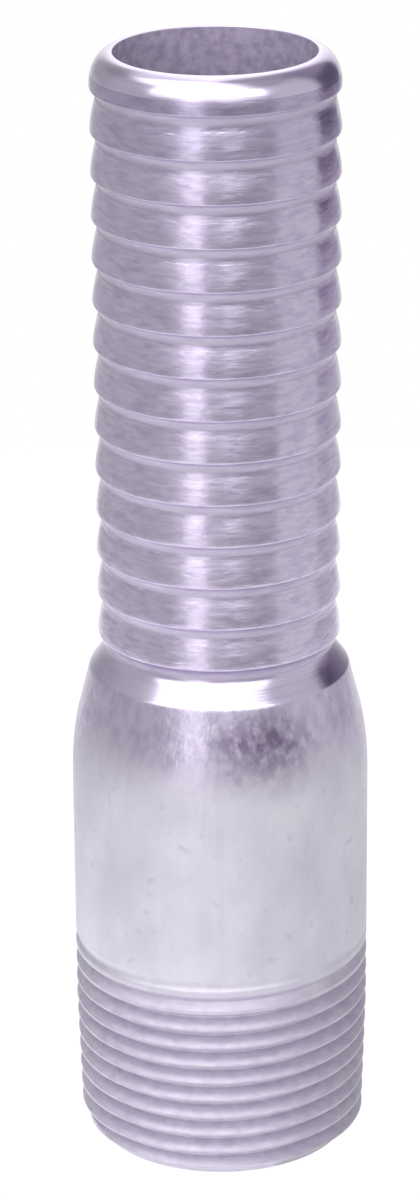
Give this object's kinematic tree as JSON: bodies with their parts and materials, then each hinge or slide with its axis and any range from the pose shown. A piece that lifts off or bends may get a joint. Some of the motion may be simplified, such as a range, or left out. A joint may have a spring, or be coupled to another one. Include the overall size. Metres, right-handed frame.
{
  "type": "combination hose nipple",
  "caption": "Steel pipe nipple with a taper pipe thread at one end and a ringed, barbed hose shank at the other, open from end to end.",
  "frame": {"origin": "middle of the threaded end face", "axes": "+Z along the bore, from the threaded end to the hose end"},
  "size_m": [0.0334, 0.0334, 0.127],
  "materials": {
    "plated_steel": "zinc-plated steel, satin, faintly lavender"
  },
  "bodies": {
    "root": {"hose_nipple": "plated_steel"}
  },
  "joints": []
}
